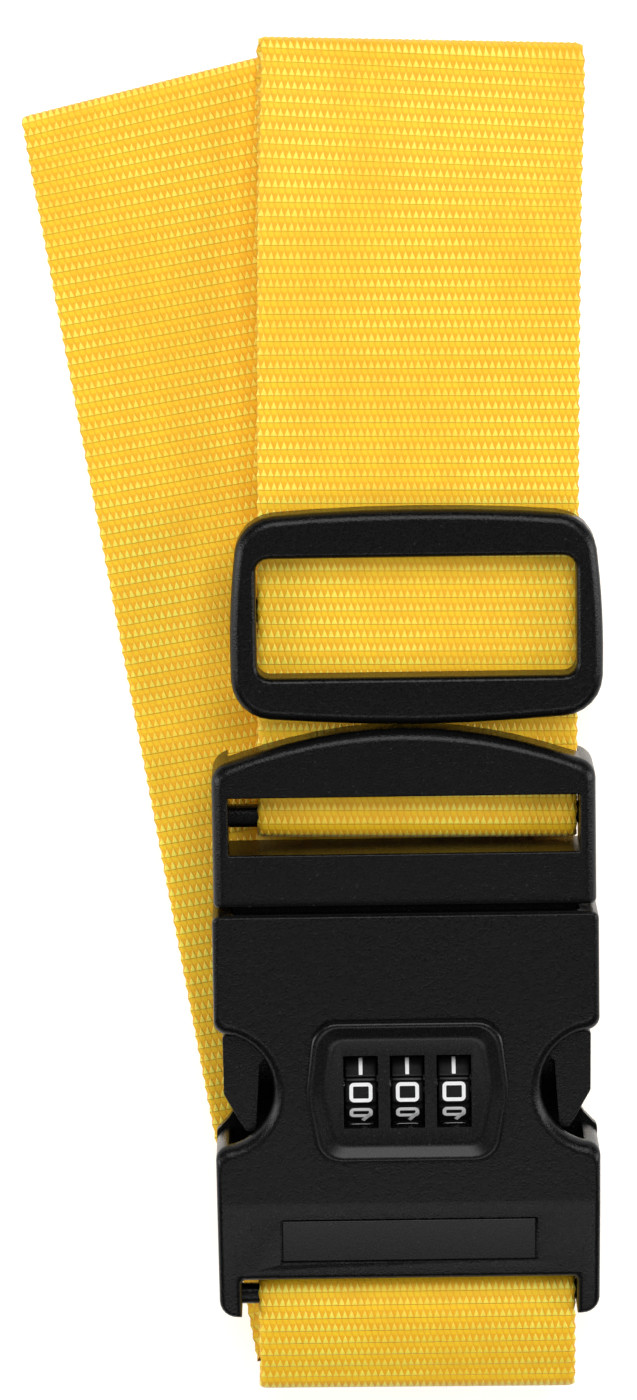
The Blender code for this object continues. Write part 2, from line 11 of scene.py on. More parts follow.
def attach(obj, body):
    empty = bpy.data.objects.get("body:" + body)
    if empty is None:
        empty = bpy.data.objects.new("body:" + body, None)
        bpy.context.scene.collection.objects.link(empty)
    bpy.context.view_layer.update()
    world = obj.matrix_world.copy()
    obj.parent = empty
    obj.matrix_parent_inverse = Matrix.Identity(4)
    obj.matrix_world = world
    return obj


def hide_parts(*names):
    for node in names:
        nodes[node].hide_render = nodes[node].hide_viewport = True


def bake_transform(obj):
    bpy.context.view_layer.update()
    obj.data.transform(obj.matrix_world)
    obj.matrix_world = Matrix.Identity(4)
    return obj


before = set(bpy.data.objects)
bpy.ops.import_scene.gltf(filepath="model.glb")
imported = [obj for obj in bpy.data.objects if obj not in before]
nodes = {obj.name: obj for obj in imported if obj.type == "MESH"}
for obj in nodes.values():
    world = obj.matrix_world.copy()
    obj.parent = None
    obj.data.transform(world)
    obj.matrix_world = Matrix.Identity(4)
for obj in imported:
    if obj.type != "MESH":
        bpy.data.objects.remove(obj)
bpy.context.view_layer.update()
MM = 0.001

# ---------------------------------------------------------------- materials


class Graph:
    """A material's node tree, with short calls to add nodes and links."""

    def __init__(self, name):
        self.material = bpy.data.materials.new(name)
        self.material.use_nodes = True
        self.tree = self.material.node_tree
        self.shader = self.tree.nodes["Principled BSDF"]

    def put(self, socket, value):
        if isinstance(value, bpy.types.NodeSocket):
            self.tree.links.new(value, socket)
        else:
            socket.default_value = value

    def math(self, operation, a, b=0.0):
        made = self.tree.nodes.new("ShaderNodeMath")
        made.operation = operation
        for socket, value in zip(made.inputs, (a, b)):
            self.put(socket, value)
        return made.outputs[0]

    def mix(self, share, a, b):
        made = self.tree.nodes.new("ShaderNodeMix")
        made.data_type = "RGBA"
        self.put(made.inputs[0], share)
        self.put(made.inputs[6], a)
        self.put(made.inputs[7], b)
        return made.outputs[2]

    def smooth(self, value, low, high):
        made = self.tree.nodes.new("ShaderNodeMapRange")
        made.interpolation_type = "SMOOTHSTEP"
        self.put(made.inputs[0], value)
        made.inputs[1].default_value = low
        made.inputs[2].default_value = high
        return made.outputs[0]

    def noise(self, scale, detail=2.0, vector=None):
        made = self.tree.nodes.new("ShaderNodeTexNoise")
        made.inputs["Scale"].default_value = scale
        made.inputs["Detail"].default_value = detail
        if vector is None:
            vector = self.tree.nodes.new("ShaderNodeTexCoord").outputs["Object"]
        self.tree.links.new(vector, made.inputs["Vector"])
        return made.outputs[0]

    def bump(self, height, distance, strength=1.0):
        made = self.tree.nodes.new("ShaderNodeBump")
        made.inputs["Strength"].default_value = strength
        made.inputs["Distance"].default_value = distance
        self.put(made.inputs["Height"], height)
        self.tree.links.new(made.outputs[0], self.shader.inputs["Normal"])


def moulded(name, tone, roughness, grain, specular=0.5):
    """Black moulded plastic with a fine spark-eroded grain, tiny highlights painted lighter on the grain's
    raised points, a few bright specks and slightly uneven gloss.
    """
    g = Graph(name)
    fine = g.noise(3800, 1.0)
    coarse = g.noise(900, 2.0)
    cloud = g.noise(45, 3.0)
    dark = (tone * 0.85, tone * 0.85, tone * 0.88, 1)
    light = (tone * 1.2, tone * 1.2, tone * 1.22, 1)
    shade = g.mix(g.smooth(cloud, 0.35, 0.65), dark, light)
    # painted sparkle: the grain's raised points are painted lighter, as tiny highlights
    painted_sparkle = g.math("MULTIPLY", g.smooth(fine, 0.45, 0.75), 0.6)
    shade = g.mix(painted_sparkle, shade, (tone * 3.2, tone * 3.2, tone * 3.2, 1))
    speck = g.smooth(g.noise(2100, 0.0), 0.8, 0.85)
    shade = g.mix(g.math("MULTIPLY", speck, 0.35), shade, (0.06, 0.06, 0.06, 1))
    g.put(g.shader.inputs["Base Color"], shade)
    rough = g.math("ADD", g.math("MULTIPLY", fine, 0.16), roughness - 0.08)
    g.put(g.shader.inputs["Roughness"], rough)
    g.shader.inputs["Specular IOR Level"].default_value = specular
    height = g.math("ADD", g.math("MULTIPLY", fine, 0.6), g.math("MULTIPLY", coarse, 0.4))
    g.bump(height, grain * MM)
    return g.material


def plated(name):
    """Bright zinc-plated steel with faint brushing."""
    g = Graph(name)
    g.shader.inputs["Metallic"].default_value = 1.0
    streaks = g.noise(700, 3.0)
    g.put(g.shader.inputs["Base Color"], g.mix(streaks, (0.48, 0.48, 0.5, 1), (0.68, 0.68, 0.7, 1)))
    g.put(g.shader.inputs["Roughness"], g.math("ADD", g.math("MULTIPLY", streaks, 0.2), 0.22))
    g.bump(streaks, 0.01 * MM)
    return g.material


def paint(name):
    """The digits' white ink, slightly uneven."""
    g = Graph(name)
    patches = g.noise(1500, 2.0)
    g.put(g.shader.inputs["Base Color"], g.mix(patches, (0.78, 0.79, 0.8, 1), (0.93, 0.93, 0.93, 1)))
    g.shader.inputs["Roughness"].default_value = 0.5
    g.bump(patches, 0.01 * MM)
    return g.material


def woven(name):
    """Ribbed polyester webbing. Its UV map counts teeth across and rows along, and so follows the strip."""
    g = Graph(name)
    uv = g.tree.nodes.new("ShaderNodeUVMap")
    uv.uv_map = "weave"
    split = g.tree.nodes.new("ShaderNodeSeparateXYZ")
    g.put(split.inputs[0], uv.outputs[0])
    u, v = split.outputs[0], split.outputs[1]
    row = g.math("FLOOR", v)
    climb = g.math("FRACT", v)
    shift = g.math("MULTIPLY", g.math("PINGPONG", row, 1.0), 0.5)
    wobble = g.math("MULTIPLY", g.math("SUBTRACT", g.noise(1.3, 2.0, uv.outputs[0]), 0.5), 0.25)
    across = g.math("ADD", g.math("ADD", u, shift), wobble)
    side = g.math("MULTIPLY", g.math("ABSOLUTE", g.math("SUBTRACT", g.math("FRACT", across), 0.5)), 2.0)
    # a tooth is widest at its foot and comes to a point half way up its row
    reach = g.math("SUBTRACT", 1.06, g.math("MULTIPLY", climb, 1.5))
    tooth = g.smooth(g.math("SUBTRACT", reach, side), -0.06, 0.22)
    foot = g.smooth(climb, 0.0, 0.09)
    tooth = g.math("MULTIPLY", tooth, foot)
    flank = g.math("SUBTRACT", 1.0, g.smooth(g.math("ABSOLUTE", g.math("SUBTRACT", reach, side)), 0.0, 0.26))
    beside = g.smooth(g.math("SUBTRACT", side, reach), -0.05, 0.15)
    below_points = g.math("SUBTRACT", 1.0, g.smooth(climb, 0.55, 0.72))
    between = g.math("MULTIPLY", beside, below_points)
    gap = g.math("MAXIMUM", between, g.math("MULTIPLY", flank, 0.6))
    gap = g.math("MULTIPLY", gap, g.smooth(climb, 0.02, 0.14))
    lower = g.math("MULTIPLY", g.smooth(climb, 0.5, 0.96), 0.85)
    before_end = g.math("SUBTRACT", 1.0, g.smooth(climb, 0.93, 1.0))
    crease = g.math("SUBTRACT", 1.0, g.math("MULTIPLY", foot, before_end))
    slanted = g.math("ADD", across, g.math("MULTIPLY", climb, 0.6))
    yarn = g.math("ABSOLUTE", g.math("SUBTRACT", g.math("FRACT", slanted), 0.5))
    strand = g.smooth(yarn, 0.26, 0.46)
    cloud = g.noise(0.22, 3.0, uv.outputs[0])
    base = g.mix(g.smooth(cloud, 0.3, 0.7), (0.96, 0.54, 0.005, 1), (1.0, 0.63, 0.008, 1))
    # painted shade: the grooves between the slanted yarns are painted darker orange
    base = g.mix(g.math("MULTIPLY", strand, 0.6), base, (0.9, 0.38, 0.004, 1))
    # painted shade: the sunken gaps between the teeth and the teeth's outlines are painted darker orange
    base = g.mix(g.math("MULTIPLY", gap, 0.75), base, (0.9, 0.42, 0.003, 1))
    base = g.mix(g.math("MULTIPLY", lower, 0.2), base, (1.0, 0.72, 0.05, 1))
    # painted shade: the crease where one row meets the next is painted darker orange
    base = g.mix(g.math("MULTIPLY", crease, 0.3), base, (0.85, 0.36, 0.004, 1))
    # the raised teeth are painted paler yellow, partly their own lighter yarn and partly a painted highlight.
    # In places the teeth lie flatter and catch less light, so the painted highlight is weaker there
    lie = g.smooth(g.noise(0.05, 1.0, uv.outputs[0]), 0.38, 0.6)
    shine = g.math("ADD", 0.5, g.math("MULTIPLY", lie, 0.45))
    base = g.mix(g.math("MULTIPLY", tooth, shine), base, (1.0, 0.86, 0.11, 1))
    g.put(g.shader.inputs["Base Color"], base)
    threads = g.noise(26.0, 2.0, uv.outputs[0])
    g.put(g.shader.inputs["Roughness"], g.math("SUBTRACT", 0.58, g.math("MULTIPLY", tooth, 0.2)))
    g.shader.inputs["Specular IOR Level"].default_value = 0.45
    g.shader.inputs["Sheen Weight"].default_value = 0.15
    g.shader.inputs["Sheen Roughness"].default_value = 0.4
    height = g.math("ADD", g.math("MULTIPLY", tooth, 0.6), g.math("MULTIPLY", threads, 0.12))
    height = g.math("SUBTRACT", height, g.math("MULTIPLY", gap, 0.35))
    height = g.math("SUBTRACT", height, g.math("MULTIPLY", strand, 0.2))
    height = g.math("SUBTRACT", height, g.math("MULTIPLY", crease, 0.3))
    g.bump(height, 0.14 * MM, 0.8)
    return g.material


BLACK = moulded("grained_black_plastic", 0.0018, 0.29, 0.07, 0.2)
SATIN = moulded("satin_black_plastic", 0.003, 0.28, 0.008, 0.25)
WHEEL = moulded("dial_black_plastic", 0.003, 0.32, 0.006, 0.25)
STEEL = plated("zinc_plated_steel")
INK = paint("white_ink")
FABRIC = woven("yellow_webbing")


def dress(obj, surface):
    obj.data.materials.clear()
    obj.data.materials.append(surface)


# ---------------------------------------------------------------- outlines and solids


def rounded(corners, steps=6):
    """An outline from (x, y, radius) corners, each corner turned into an arc."""
    points = []
    count = len(corners)
    for i, (x, y, radius) in enumerate(corners):
        here = Vector((x, y))
        if not radius:
            points.append(here)
            continue
        back = (Vector(corners[i - 1][:2]) - here).normalized()
        ahead = (Vector(corners[(i + 1) % count][:2]) - here).normalized()
        half = back.angle(ahead) / 2
        centre = here + (back + ahead).normalized() * radius / math.sin(half)
        first = here + back * radius / math.tan(half) - centre
        last = here + ahead * radius / math.tan(half) - centre
        turn = first.angle_signed(last)
        points += [centre + Matrix.Rotation(-turn * k / steps, 2) @ first for k in range(steps + 1)]
    return points


def mirrored(right_half):
    return right_half + [(-x, y, radius) for x, y, radius in reversed(right_half)]


def object_from(bm, name):
    """A new object in the scene with a bmesh's shape. It frees the bmesh."""
    mesh = bpy.data.meshes.new(name)
    bm.to_mesh(mesh)
    bm.free()
    piece = bpy.data.objects.new(name, mesh)
    bpy.context.scene.collection.objects.link(piece)
    return piece


def loft(name, rings, surface):
    """A closed body through rings of as many (x, y, z) points each, in millimetres, capped at both ends."""
    bm = bmesh.new()
    loops = [[bm.verts.new(Vector(p) * MM) for p in ring] for ring in rings]
    count = len(loops[0])
    for low, high in zip(loops, loops[1:]):
        for k in range(count):
            n = (k + 1) % count
            bm.faces.new((low[k], low[n], high[n], high[k]))
    bm.faces.new(list(reversed(loops[0])))
    bm.faces.new(loops[-1])
    bmesh.ops.recalc_face_normals(bm, faces=bm.faces)
    piece = object_from(bm, name)
    dress(piece, surface)
    return piece


def box(name, low, high):
    bm = bmesh.new()
    bmesh.ops.create_cube(bm, size=1.0)
    bmesh.ops.scale(bm, vec=(Vector(high) - Vector(low)) * MM, verts=bm.verts)
    bmesh.ops.translate(bm, vec=(Vector(high) + Vector(low)) / 2 * MM, verts=bm.verts)
    return object_from(bm, name)


def bake(obj):
    """Applies an object's modifiers."""
    graph = bpy.context.evaluated_depsgraph_get()
    mesh = bpy.data.meshes.new_from_object(obj.evaluated_get(graph))
    obj.modifiers.clear()
    obj.data = mesh


def combine(piece, other, operation):
    modifier = piece.modifiers.new("combine", "BOOLEAN")
    modifier.operation = operation
    modifier.solver = "EXACT"
    modifier.object = other
    bpy.context.view_layer.update()
    bake(piece)
    bpy.data.objects.remove(other)


def cut(piece, *cutters):
    for cutter in cutters:
        combine(piece, cutter, "DIFFERENCE")


# ---------------------------------------------------------------- plastic pieces, from the CAD solids


SHARP_EDGE = math.radians(28)
INNER_CORNER = 0.2  # the share of the rounding that an inner corner gets


def soften(node, body, surface, width, segments):
    """A copy of a CAD node with its sharp edges rounded over a width in millimetres."""
    bm = bmesh.new()
    bm.from_mesh(nodes[node].data)
    bmesh.ops.remove_doubles(bm, verts=bm.verts, dist=0.00001)
    bmesh.ops.dissolve_limit(bm, angle_limit=math.radians(1.0), verts=bm.verts, edges=bm.edges)
    weights = bm.edges.layers.float.new("bevel_weight_edge")
    for edge in bm.edges:
        if len(edge.link_faces) != 2:
            continue
        angle = edge.calc_face_angle_signed(0.0)
        if abs(angle) >= SHARP_EDGE:
            edge[weights] = 1.0 if angle > 0 else INNER_CORNER
    piece = object_from(bm, node + "_moulded")
    bevel = piece.modifiers.new("rounded_edges", "BEVEL")
    bevel.limit_method = "WEIGHT"
    bevel.width = width * MM
    bevel.segments = segments
    bevel.miter_outer = "MITER_ARC"
    bevel.use_clamp_overlap = True
    piece.data.shade_smooth()
    bake(piece)
    piece.data.set_sharp_from_angle(angle=math.radians(40))
    even = piece.modifiers.new("even_shading", "WEIGHTED_NORMAL")
    even.keep_sharp = True
    dress(piece, surface)
    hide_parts(node)
    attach(piece, body)


LOCK_HALF, LOCK_TOP_Y, LOCK_FOOT_Y, LOCK_FACE = 30.2, 28.45, -37.0, 28.0
EAR_INNER, EAR_ROOT_Y = 26.52, -30.68  # the cover's two ears beside the webbing
NOTCH_Y, NOTCH_RADIUS = 0.35, 9.25
NOTCH_LIP = 2.2  # the rounding of a notch's corners, and how far from its arc the wider edge rounding fades
SLOPE_Y, SLOPE = -17.8, math.radians(8.5)  # where the face starts to slope down, and how steeply
FRAME_HALF, FRAME_FOOT_Y, FRAME_SHOULDER_Y, FRAME_CROWN_Y, FRAME_FACE = 29.98, 28.82, 51.2, 56.98, 24.5
FRAME_ARCH = 0.0068  # the crown falls by this times x squared
SLOT = (27.5, 37.4, 46.4)  # half width, lower and upper edge
SLIDER_X, SLIDER_FACE = 2.3, 23.0
WINDOW = (24.9, 65.0, 83.8)  # half width, lower and upper edge
ENVELOPE_LOW = 5.0  # a height below every moulded piece
SIDE_GAP, TOP_GAP = 0.02, 0.01  # how far inside the CAD faces an envelope lies


def envelope(name, outline, low, top, radius, spot=None, steps=5):
    """A solid with a rounded upper edge. outline(side, notch) gives its (x, y) points at two insets, and
    spot(x, y) the share of the wider rounding a point of it gets."""
    side, notch = radius
    shares = [spot(x, y) if spot else 0.0 for x, y in outline(0.0, 0.0)]
    rings = [[(x, y, low) for x, y in outline(0.0, 0.0)]]
    for k in range(steps + 1):
        angle = math.pi / 2 * k / steps
        points = outline(side * (1 - math.cos(angle)), notch * (1 - math.cos(angle)))
        lowered = [(side + (notch - side) * share) * (1 - math.sin(angle)) for share in shares]
        rings.append([(x, y, top - down) for (x, y), down in zip(points, lowered)])
    return loft(name, rings, BLACK)


def add_part(name, body, rings):
    """A plain moulded piece that lies beside a rounded one, on the same body."""
    piece = loft(name, rings, BLACK)
    piece.data.shade_smooth()
    piece.data.set_sharp_from_angle(angle=math.radians(40))
    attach(piece, body)


def bar_rings(y_from, y_to, z_from, z_to, half, radius):
    """A round-cornered bar along X."""
    corners = [(y_to, z_from, radius), (y_to, z_to, radius), (y_from, z_to, radius), (y_from, z_from, radius)]
    ring = rounded(corners, 5)
    return [[(x, p.x, p.y) for p in ring] for x in (-half, half)]


def keep_inside(node, body, envelopes, cutters=()):
    """A copy of a CAD node, cut down to the rounded envelopes."""
    bm = bmesh.new()
    bm.from_mesh(nodes[node].data)
    bmesh.ops.remove_doubles(bm, verts=bm.verts, dist=0.000005)
    piece = object_from(bm, node + "_moulded")
    # the solids nearly touch the envelopes, so they meet at a scale of one unit to the millimetre
    piece.data.transform(Matrix.Scale(1 / MM, 4))
    for other, operation in [(o, "INTERSECT") for o in envelopes] + [(o, "DIFFERENCE") for o in cutters]:
        other.data.transform(Matrix.Scale(1 / MM, 4))
        combine(piece, other, operation)
    piece.data.transform(Matrix.Scale(MM, 4))
    piece.data.shade_smooth()
    piece.data.set_sharp_from_angle(angle=math.radians(33))
    even = piece.modifiers.new("even_shading", "WEIGHTED_NORMAL")
    even.keep_sharp = True
    dress(piece, BLACK)
    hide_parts(node)
    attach(piece, body)


def lock_outline(side, notch):
    reach = NOTCH_RADIUS + notch
    edge = LOCK_HALF - SIDE_GAP - side
    foot = LOCK_FOOT_Y + SIDE_GAP + side
    arc = []
    for k in range(15):
        angle = math.radians(110 + 10 * k)
        arc.append((LOCK_HALF + reach * math.cos(angle), NOTCH_Y + reach * math.sin(angle), 0))
    corners = [
        (edge, LOCK_TOP_Y - SIDE_GAP - side * 0.5, max(0.25, 1.2 - side)),
        (edge, NOTCH_Y + reach, NOTCH_LIP),
        *arc,
        (edge, NOTCH_Y - reach, NOTCH_LIP),
        (edge - 0.2, foot, 2.8 - 1.5 * side),
        (EAR_INNER + side, foot, 0),
        (EAR_INNER + side, EAR_ROOT_Y + side, 0.8),
    ]
    return [tuple(p) for p in rounded(mirrored(corners))]


def near_notch(x, y):
    reach = math.hypot(abs(x) - LOCK_HALF, y - NOTCH_Y) - NOTCH_RADIUS
    return max(0.0, min(1.0, 1.0 - reach / NOTCH_LIP))


flat_top = envelope("flat_top", lock_outline, ENVELOPE_LOW, LOCK_FACE - TOP_GAP, (0.95, 2.0), near_notch)
# made with its top at height zero, then sheared and lifted onto the slope
sloped_top = envelope("sloped_top", lock_outline, -25.0, 0.0, (0.95, 0.95))
shear = Matrix.Identity(4)
shear[2][1] = math.tan(SLOPE)
shear[2][3] = (LOCK_FACE - SIDE_GAP - SLOPE_Y * math.tan(SLOPE)) * MM
sloped_top.data.transform(shear)
keep_inside("lock_front_cover", "lock", [flat_top, sloped_top])
strap_bar = bar_rings(y_from=-36.2, y_to=-33.0, z_from=17.0, z_to=20.0, half=26.6, radius=1.2)
add_part("strap_bar", "lock", strap_bar)


def frame_outline(side, _):
    places = (0.01, 4.5, 9.0, 13.5, 18.0, 22.0, 25.5)
    arch = [(x, FRAME_CROWN_Y - FRAME_ARCH * x * x - side, 0) for x in places]
    corners = [
        (FRAME_HALF - side, FRAME_SHOULDER_Y - side, 3.2 - 0.6 * side),
        (FRAME_HALF - side, FRAME_FOOT_Y + side * 0.25, 0.8 - side * 0.2),
    ]
    return [tuple(p) for p in rounded(mirrored(arch + corners))]


def flare(name, half, low_y, high_y, x0, corner, z, radius):
    """Cuts a rounded edge round an oblong opening whose rim is at height z."""
    rings = []
    for k in range(6):
        angle = math.pi / 2 * k / 5
        out = radius * (1 - math.cos(angle)) + 0.01
        right, left = half + out, -half - out
        low, high = low_y - out, high_y + out
        rect = [(right, low), (right, high), (left, high), (left, low)]
        ring = rounded([(x0 + x, y, corner + out) for x, y in rect], 4)
        rings.append([(p.x, p.y, z - radius * (1 - math.sin(angle))) for p in ring])
    rings.append([(x, y, z + 1) for x, y, _ in rings[-1]])
    return loft(name, rings, BLACK)


keep_inside(
    "buckle_frame",
    "buckle",
    [envelope("frame_envelope", frame_outline, ENVELOPE_LOW, FRAME_FACE - TOP_GAP, (1.9, 1.9))],
    [flare("slot_rim", *SLOT, 0.0, 0.25, FRAME_FACE, 0.35)],
)
neck = bar_rings(y_from=27.62, y_to=28.9, z_from=15.52, z_to=22.48, half=26.98, radius=0.3)
add_part("buckle_neck", "buckle", neck)

# the tongue, tapered at its tip
tongue_rings = []
for y, shrink in ((14.62, 0.6), (14.85, 0.25), (15.3, 0.0), (27.7, 0.0)):
    half, low, high = 7.98 - shrink, 17.02 + shrink, 21.98 - shrink
    ring = rounded([(half, low, 0.5), (half, high, 0.5), (-half, high, 0.5), (-half, low, 0.5)], 3)
    tongue_rings.append([(p.x, y, p.y) for p in ring])
add_part("buckle_tongue", "buckle", tongue_rings)


def slider_outline(side, _):
    top = [(0.01, 91.28, 0), (8.0, 91.18, 0), (16.0, 90.88, 0), (27.58, 90.08, 6.5)]
    low = [(28.88, 58.72, 6.5), (16.0, 57.92, 0), (8.0, 57.52, 0), (0.01, 57.37, 0)]
    points = []
    for x, y, radius in top + [(29.18, 75.0, 130.0)] + low:
        inward = side if y > 75.5 else -side if y < 74.5 else 0.0
        points.append((x - side * (x > 20), y - inward, max(0, radius - side)))
    return [(p.x + SLIDER_X, p.y) for p in rounded(mirrored(points))]


keep_inside(
    "slider_frame",
    "slider",
    [envelope("slider_envelope", slider_outline, ENVELOPE_LOW, SLIDER_FACE - TOP_GAP, (1.7, 1.7))],
    [flare("window_rim", *WINDOW, SLIDER_X, 2.0, SLIDER_FACE, 0.9)],
)


for side in ("left", "right"):
    soften(f"latch_arm_{side}", f"latch_{side}", BLACK, 0.45, 3)
soften("lock_rear_cover", "lock", BLACK, 0.3, 2)
soften("label_plate", "lock", SATIN, 0.25, 2)

dress(nodes["reset_button"], BLACK)
for name in ("dial_shaft", "detent_spring", "locking_plate", "plate_spring_left", "plate_spring_right"):
    dress(nodes[name], STEEL)
for number in (1, 2, 3, 4):
    dress(nodes[f"cover_screw_{number}"], STEEL)
for number in (1, 2, 3):
    dress(nodes[f"dial_{number}_cam"], SATIN)

# ---------------------------------------------------------------- dial frame


def tray_outline(inset):
    return rounded(
        mirrored(
            [
                (14.6 - inset, 11.5 - inset, 4.0 - 0.5 * inset),
                (15.9 - inset, 0.0, 14.0),
                (14.0 - inset, -11.1 + inset, 4.0 - 0.5 * inset),
            ]
        ),
        6,
    )


DIAL_PITCH = 7.29
tray_profile = [  # (distance in from the outline, height)
    (1.2, 25.6),
    (1.2, LOCK_FACE + 0.05),
    (0.0, LOCK_FACE + 0.05),
    (0.0, 28.75),
    (0.12, 28.98),
    (0.35, 29.12),
    (0.75, 29.14),
    (1.05, 29.02),
    (2.3, 28.5),
    (2.7, 28.36),
    (3.1, 28.32),
]
tray = loft("dial_tray", [[(p.x, p.y, z) for p in tray_outline(inset)] for inset, z in tray_profile], SATIN)
windows = []
for place in (-1, 0, 1):
    x = place * DIAL_PITCH
    windows.append(box("window", (x - 2.72, -5.62, 20), (x + 2.72, 6.02, 40)))
index_line = [
    box("index", (x - 0.55, -0.08, 28.22), (x + 0.55, 0.08, 30)) for x in (-DIAL_PITCH / 2, DIAL_PITCH / 2)
]
cut(tray, *windows, *index_line)
tray.data.shade_smooth()
tray.data.set_sharp_from_angle(angle=math.radians(35))
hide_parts("dial_bezel")
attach(tray, "lock")

# ---------------------------------------------------------------- dials

DIAL_Z = 21.0
DIAL_RADIUS = 6.7
DIGITS = 10
PAD_DEGREES = 12.5  # half the angle of a pad's top


def dial_wheel(number):
    """A dial with softly crowned pads and a shaded groove between each pair."""
    x = (number - 2) * DIAL_PITCH
    outline = []
    for k in range(DIGITS):
        middle = math.radians(90 + 36 * k)
        for degrees, radius in (
            (-16.6, 6.02),
            (-15.4, 6.30),
            (-14.0, 6.66),
            (-12.5, 6.76),
            (-6.0, 6.76),
            (0.0, 6.76),
            (6.0, 6.76),
            (12.5, 6.76),
            (14.0, 6.66),
            (15.4, 6.30),
            (16.6, 6.02),
        ):
            angle = middle + math.radians(degrees)
            if abs(degrees) < PAD_DEGREES:
                flat = radius * math.cos(math.radians(PAD_DEGREES)) / math.cos(math.radians(degrees))
                radius = max(flat, radius * 0.976)
            outline.append((radius, angle))
    rings = []
    half = 2.5
    rim = [(0.0, 0.35), (0.12, 0.1), (0.35, 0.0)]  # (distance in from the wheel's face, how much smaller)
    profile = [(-half + inward, shrink) for inward, shrink in rim]
    profile += [(half - inward, shrink) for inward, shrink in reversed(rim)]
    for offset, shrink in profile:
        shrunk = [(radius - shrink, angle) for radius, angle in outline]
        rings.append([(x + offset, r * math.cos(a), DIAL_Z + r * math.sin(a)) for r, a in shrunk])
    wheel = loft(f"dial_{number}_wheel_body", rings, WHEEL)
    bm = bmesh.new()
    bmesh.ops.create_cone(bm, cap_ends=True, segments=24, radius1=3.3 * MM, radius2=3.3 * MM, depth=8 * MM)
    bore = object_from(bm, "bore")
    bore.matrix_world = Matrix.Translation(Vector((x, 0, DIAL_Z)) * MM) @ Matrix.Rotation(math.pi / 2, 4, "Y")
    cut(wheel, bore)
    wheel.data.shade_smooth()
    wheel.data.set_sharp_from_angle(angle=math.radians(35))
    dress(wheel, WHEEL)
    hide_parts(f"dial_{number}")
    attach(wheel, f"dial_{number}_wheel")


W, H, R = 1.52, 1.27, 0.45  # half width, half height and corner radius of a digit


def digit_strokes(digit):
    """The digit's strokes as (points, closed), drawn as plain squared numerals."""
    if digit == 0:
        return [([tuple(p) for p in rounded([(-W, H, R), (W, H, R), (W, -H, R), (-W, -H, R)], 4)], True)]
    if digit == 1:
        return [([(0, H + 0.1), (0, -H - 0.1)], False)]
    if digit == 2:
        path = [(-W, H), (W - R, H), (W, H - R), (W, R), (W - R, 0), (-W + R, 0), (-W, -R), (-W, -H), (W, -H)]
        return [(path, False)]
    if digit == 3:
        return [
            ([(-W, H), (W - R, H), (W, H - R), (W, -H + R), (W - R, -H), (-W, -H)], False),
            ([(-W * 0.4, 0), (W - 0.1, 0)], False),
        ]
    if digit == 4:
        return [([(W * 0.5, -H - 0.1), (W * 0.5, H), (-W, -H * 0.3), (W, -H * 0.3)], False)]
    if digit == 5:
        path = [(W, H), (-W, H), (-W, 0.1), (W - R, 0.1), (W, 0.1 - R), (W, -H + R), (W - R, -H), (-W, -H)]
        return [(path, False)]
    if digit == 6:
        loop = [tuple(p) for p in rounded([(-W, 0.2, R), (W, 0.2, R), (W, -H, R), (-W, -H, R)], 4)]
        return [(loop, True), ([(-W, -0.3), (-W * 0.2, H)], False)]
    if digit == 7:
        return [([(-W, H), (W, H), (-W * 0.2, -H)], False)]
    if digit == 8:
        top = [tuple(p) for p in rounded([(-W, H, R), (W, H, R), (W, 0, R), (-W, 0, R)], 4)]
        low = [tuple(p) for p in rounded([(-W, 0, R), (W, 0, R), (W, -H, R), (-W, -H, R)], 4)]
        return [(top, True), (low, True)]
    loop = [tuple(p) for p in rounded([(-W, H, R), (W, H, R), (W, -0.2, R), (-W, -0.2, R)], 4)]
    return [(loop, True), ([(W, 0.3), (W * 0.2, -H)], False)]


def digit_ring(number):
    """A dial's ten digits as thin ink on its pads. Zero faces up at rest, and higher ones follow above it."""
    x0 = (number - 2) * DIAL_PITCH
    bm = bmesh.new()
    half, low, high = 0.29, DIAL_RADIUS * 0.985 - 0.02, DIAL_RADIUS * 0.985 + 0.06
    for digit in range(DIGITS):
        angle = math.radians(90 - 36 * digit)
        out = Vector((0, math.cos(angle), math.sin(angle)))
        up = Vector((0, math.sin(angle), -math.cos(angle)))
        for points, closed in digit_strokes(digit):
            points = [Vector(p) for p in points]
            count = len(points)
            sides = []
            for k, p in enumerate(points):
                before = points[k - 1] if k or closed else p
                after = points[(k + 1) % count] if k < count - 1 or closed else p
                d1 = (p - before).normalized() if (p - before).length > 1e-6 else (after - p).normalized()
                d2 = (after - p).normalized() if (after - p).length > 1e-6 else d1
                bend = (d1 + d2).normalized()
                normal = Vector((-bend.y, bend.x))
                stretch = half / max(0.5, bend.dot(d1))
                end = Vector((0, 0))
                if not closed and k == 0:
                    end = -d2 * 0.06
                if not closed and k == count - 1:
                    end = d1 * 0.06
                sides.append((p + normal * stretch + end, p - normal * stretch + end))
            rows = []
            for a, b in sides:
                row = []
                for q, lift in ((a, low), (a, high), (b, high), (b, low)):
                    place = Vector((x0, 0, DIAL_Z)) + Vector((q.x, 0, 0)) + up * q.y + out * lift
                    row.append(bm.verts.new(place * MM))
                rows.append(row)
            pairs = list(zip(rows, rows[1:])) + ([(rows[-1], rows[0])] if closed else [])
            for p, q in pairs:
                for k in range(4):
                    n = (k + 1) % 4
                    bm.faces.new((p[k], p[n], q[n], q[k]))
            if not closed:
                bm.faces.new(list(reversed(rows[0])))
                bm.faces.new(rows[-1])
    bmesh.ops.recalc_face_normals(bm, faces=bm.faces)
    ring = object_from(bm, f"dial_{number}_digits")
    dress(ring, INK)
    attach(ring, f"dial_{number}_wheel")


for number in (1, 2, 3):
    dial_wheel(number)
    digit_ring(number)

# ---------------------------------------------------------------- webbing

